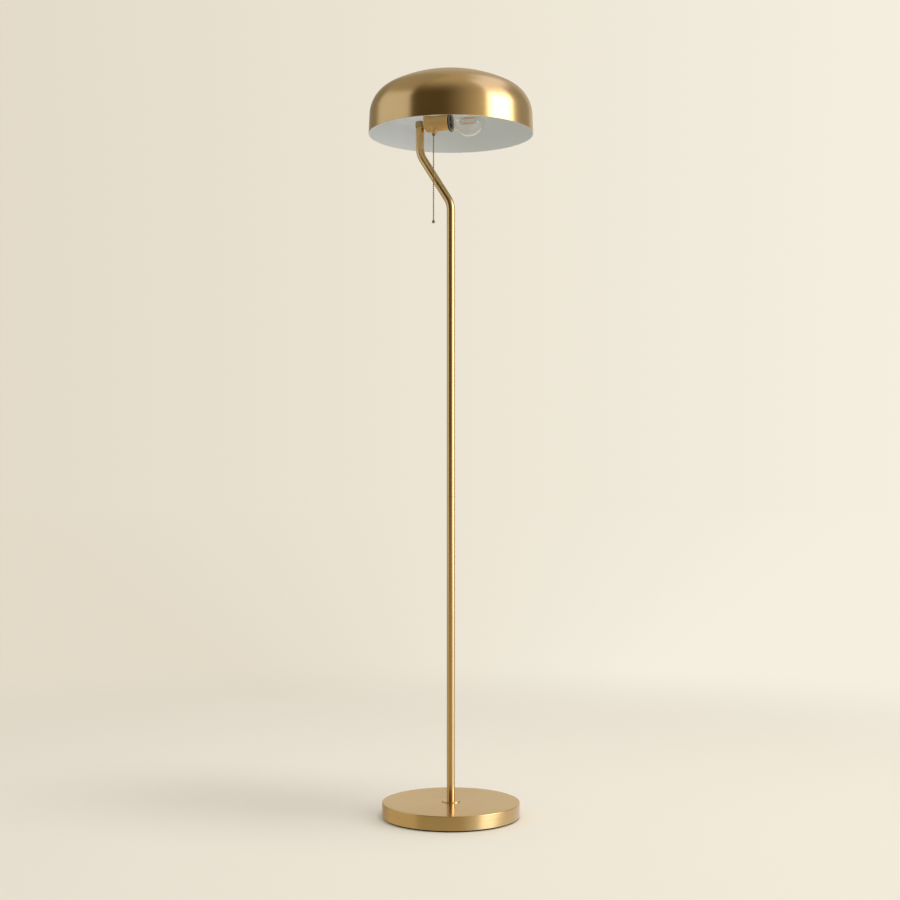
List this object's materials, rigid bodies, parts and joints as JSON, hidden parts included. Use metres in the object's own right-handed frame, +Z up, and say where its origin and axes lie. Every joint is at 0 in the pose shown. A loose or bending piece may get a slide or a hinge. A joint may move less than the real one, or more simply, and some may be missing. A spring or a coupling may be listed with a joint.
{
  "type": "mushroom floor lamp",
  "caption": "Floor lamp with a round weighted base, a slim pole with an offset neck, a domed brass shade, a level pull-chain socket and a clear bulb.",
  "frame": {"origin": "on the floor, on the pole's axis", "axes": "+Z up along the pole, +X along the socket towards the bulb, -Y the side that the pull chain hangs on"},
  "size_m": [0.3208, 0.3208, 1.4585],
  "materials": {
    "satin_brass": "brushed satin, lacquered",
    "socket_brass": "plain brass sheet",
    "chain_brass": "rolled brass balls",
    "cast_iron": "as cast, painted",
    "black_foam": "closed-cell foam",
    "black_rubber": "moulded",
    "plated_steel": "zinc plated",
    "black_phenolic": "moulded phenolic",
    "fibre_liner": "pressed fibre",
    "clear_glass": "clear blown glass",
    "filament_coat": "phosphor coat",
    "solder": "tinned"
  },
  "bodies": {
    "lamp": {"arm_nipple": "plated_steel", "arm_nut": "plated_steel", "arm_washer": "satin_brass", "base_nipple": "plated_steel", "base_nut": "plated_steel", "base_pad": "black_foam", "base_shell": "satin_brass", "base_washer": "plated_steel", "base_weight": "cast_iron", "centre_contact": "socket_brass", "chain_bell": "socket_brass", "contact_blades": "socket_brass", "cord_grommet": "black_rubber", "crown_spacer": "plated_steel", "finial": "satin_brass", "foot_disc": "satin_brass", "knuckle": "satin_brass", "lower_joint_bushing": "plated_steel", "lower_joint_stud": "plated_steel", "pole_foot_bushing": "plated_steel", "pole_lower": "satin_brass", "pole_middle": "satin_brass", "pole_upper": "satin_brass", "return_spring": "plated_steel", "screw_shell": "socket_brass", "shade": "satin_brass", "shade_nipple": "plated_steel", "shade_nut": "plated_steel", "shade_strap": "satin_brass", "socket_body": "black_phenolic", "socket_cap": "socket_brass", "socket_cover": "black_phenolic", "socket_liner": "fibre_liner", "socket_ring": "black_phenolic", "socket_shell": "socket_brass", "switch_axle": "plated_steel", "terminal_screws": "plated_steel", "upper_joint_bushing": "plated_steel", "upper_joint_stud": "plated_steel"},
    "chain_slide": {"chain_lead": "chain_brass"},
    "chain": {"pull_chain": "chain_brass", "chain_end": "chain_brass"},
    "pull_arm": {"pull_arm": "plated_steel"},
    "switch_drum": {"switch_drum": "black_phenolic"},
    "bulb_carrier": {"bulb_contact": "solder"},
    "bulb": {"bulb_glass": "clear_glass", "bulb_base": "plated_steel", "bulb_insulator": "black_phenolic", "bulb_stem": "clear_glass", "bulb_filaments": "filament_coat", "filament_frame": "plated_steel"}
  },
  "joints": [
    {"name": "chain_pull", "type": "slide", "parent": "lamp", "child": "chain_slide", "axis": [0, 0, -1], "range_m": [0, 0.01], "stiffness_N_per_m": 600},
    {"name": "chain_swing", "type": "hinge", "parent": "chain_slide", "child": "chain", "pos_m": [-0.0314, -0.01271, 1.3271], "axis": [0, 1, 0], "range_deg": [-45, 45]},
    {"name": "pull_arm_turn", "type": "hinge", "parent": "lamp", "child": "pull_arm", "pos_m": [-0.045, 0, 1.3541], "axis": [1, 0, 0], "range_deg": [0, 51]},
    {"name": "switch_drum_turn", "type": "hinge", "parent": "lamp", "child": "switch_drum", "pos_m": [-0.042, 0, 1.3541], "axis": [1, 0, 0], "continuous": true},
    {"name": "bulb_travel", "type": "slide", "parent": "lamp", "child": "bulb_carrier", "axis": [1, 0, 0], "range_m": [0, 0.0183]},
    {"name": "bulb_turn", "type": "hinge", "parent": "bulb_carrier", "child": "bulb", "pos_m": [-0.02, 0, 1.3541], "axis": [1, 0, 0], "range_deg": [0, 1800]}
  ],
  "couplings": [
    {"joint": "pull_arm_turn", "follows": "chain_pull", "rad_per_m": 88.5},
    {"joint": "bulb_travel", "follows": "bulb_turn", "m_per_rad": 0.00057757}
  ]
}
